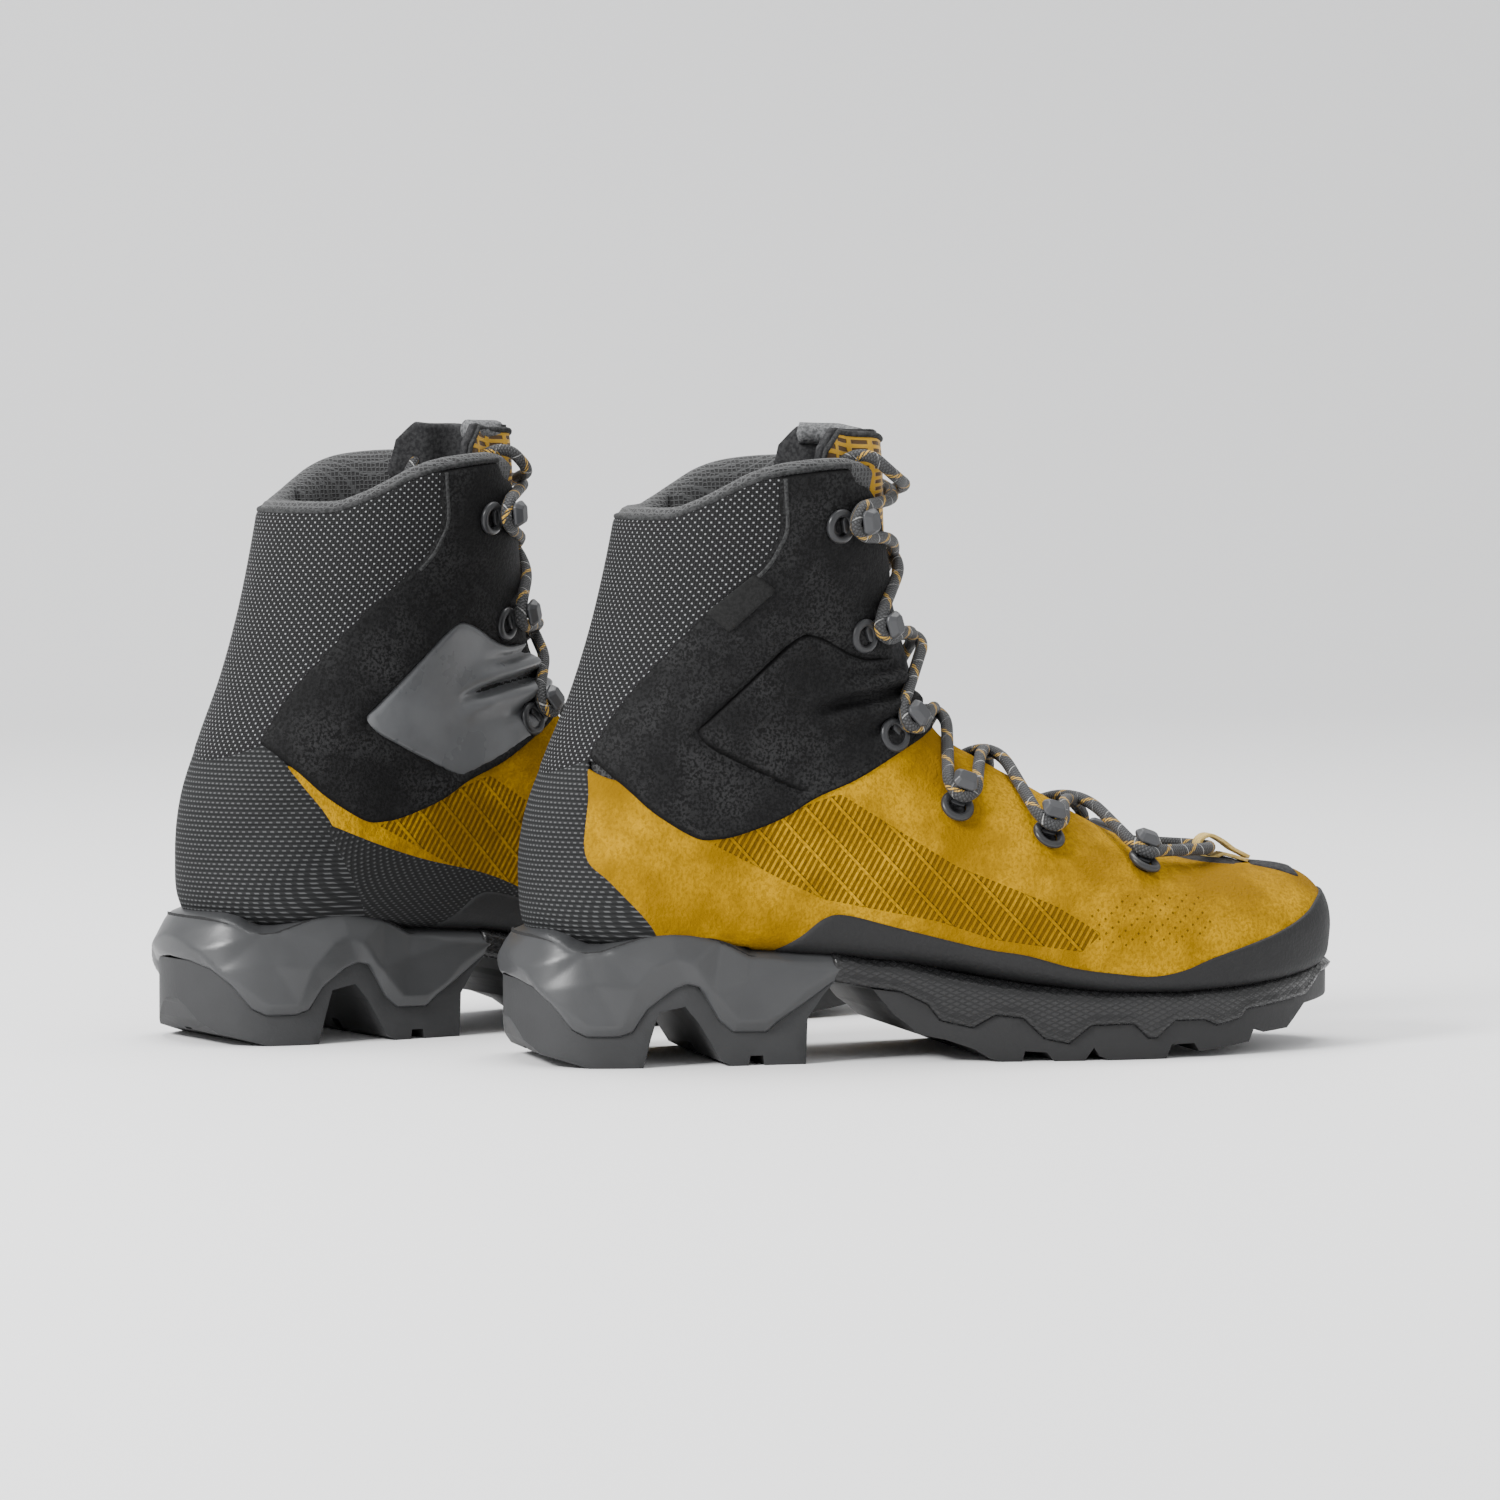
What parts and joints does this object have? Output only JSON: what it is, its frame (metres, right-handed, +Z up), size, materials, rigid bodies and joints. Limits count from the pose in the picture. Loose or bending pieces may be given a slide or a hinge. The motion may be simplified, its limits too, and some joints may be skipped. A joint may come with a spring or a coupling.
{
  "type": "mountaineering boots",
  "caption": "Pair of mid-height laced mountaineering boots with a treaded sole unit, heel frame, rand, hinged padded cuff and tongue.",
  "frame": {"origin": "on the floor, at the middle of the pair's bounding box", "axes": "+X towards the toes of the right boot, +Z up, right boot on the -Y side"},
  "size_m": [0.4118, 0.2704, 0.221],
  "materials": {
    "yellow_nubuck": "grained nubuck",
    "black_microfibre": "napped",
    "dotted_mesh": "woven with light dots",
    "heel_knit": "ribbed knit",
    "arch_fabric": "coarse weave",
    "rand_rubber": "matt",
    "board": "matt",
    "lining_fabric": "fine mesh",
    "lining_mesh": "padded mesh",
    "footbed_fabric": "matt",
    "tongue_fabric": "woven",
    "tongue_knit": "knit",
    "yellow_mesh": "open mesh",
    "grey_tpu": "satin",
    "midsole_compound": "semi-gloss, scaled",
    "heel_rubber": "matt",
    "sole_rubber": "matt",
    "hook_enamel": "satin",
    "rivet_metal": "dark",
    "pale_webbing": "woven webbing",
    "lace_braid": "round braid",
    "label_fabric": "woven"
  },
  "bodies": {
    "right_foot": {"right_heel_fabric": "heel_knit", "right_rand": "rand_rubber", "right_vamp": "yellow_nubuck", "right_arch_panel": "arch_fabric", "right_ankle_panel_lower": "black_microfibre", "right_insole_board": "board", "right_heel_counter": "board", "right_toe_puff": "board", "right_bootie": "lining_fabric", "right_footbed": "footbed_fabric", "right_flex_gusset": "black_microfibre", "right_tongue_base": "tongue_fabric", "right_heel_frame": "grey_tpu", "right_midsole": "midsole_compound", "right_shank": "board", "right_outsole_heel": "heel_rubber", "right_outsole_forefoot": "sole_rubber", "right_lower_hooks": "hook_enamel", "right_foot_rivets": "rivet_metal", "right_toe_loop": "pale_webbing", "right_lace_lower": "lace_braid"},
    "right_cuff": {"right_ankle_panel_upper": "black_microfibre", "right_collar_panel": "dotted_mesh", "right_collar_lining": "lining_mesh", "right_cuff_hooks": "hook_enamel", "right_cuff_rivets": "rivet_metal", "right_label": "label_fabric", "right_lace_upper": "lace_braid"},
    "right_tongue": {"right_tongue_pad": "tongue_knit", "right_tongue_face": "yellow_mesh"},
    "left_foot": {"left_heel_fabric": "heel_knit", "left_rand": "rand_rubber", "left_vamp": "yellow_nubuck", "left_arch_panel": "arch_fabric", "left_ankle_panel_lower": "black_microfibre", "left_insole_board": "board", "left_heel_counter": "board", "left_toe_puff": "board", "left_bootie": "lining_fabric", "left_footbed": "footbed_fabric", "left_flex_gusset": "black_microfibre", "left_tongue_base": "tongue_fabric", "left_heel_frame": "grey_tpu", "left_midsole": "midsole_compound", "left_shank": "board", "left_outsole_heel": "heel_rubber", "left_outsole_forefoot": "sole_rubber", "left_lower_hooks": "hook_enamel", "left_foot_rivets": "rivet_metal", "left_toe_loop": "pale_webbing", "left_lace_lower": "lace_braid"},
    "left_cuff": {"left_ankle_panel_upper": "black_microfibre", "left_collar_panel": "dotted_mesh", "left_collar_lining": "lining_mesh", "left_cuff_hooks": "hook_enamel", "left_cuff_rivets": "rivet_metal", "left_label": "label_fabric", "left_lace_upper": "lace_braid"},
    "left_tongue": {"left_tongue_pad": "tongue_knit", "left_tongue_face": "yellow_mesh"}
  },
  "joints": [
    {"name": "right_ankle_flex", "type": "hinge", "parent": "right_foot", "child": "right_cuff", "pos_m": [-0.03256, -0.0812, 0.118], "axis": [0, 1, 0], "range_deg": [-6, 10], "stiffness_Nm_per_rad": 12, "deforming": ["right_flex_gusset", "right_lace_upper"]},
    {"name": "right_tongue_tilt", "type": "hinge", "parent": "right_cuff", "child": "right_tongue", "pos_m": [0.03644, -0.0812, 0.16], "axis": [0, 1, 0], "range_deg": [-8, 0], "stiffness_Nm_per_rad": 0.6},
    {"name": "left_boot_lift", "type": "slide", "parent": "right_foot", "child": "left_foot", "axis": [0, 0, 1], "range_m": [0, 0.25]},
    {"name": "left_ankle_flex", "type": "hinge", "parent": "left_foot", "child": "left_cuff", "pos_m": [-0.13727, 0.0381, 0.118], "axis": [-0.2756, 0.9613, 0], "range_deg": [-6, 10], "stiffness_Nm_per_rad": 12, "deforming": ["left_flex_gusset", "left_lace_upper"]},
    {"name": "left_tongue_tilt", "type": "hinge", "parent": "left_cuff", "child": "left_tongue", "pos_m": [-0.07094, 0.05712, 0.16], "axis": [-0.2756, 0.9613, 0], "range_deg": [-8, 0], "stiffness_Nm_per_rad": 0.6}
  ]
}
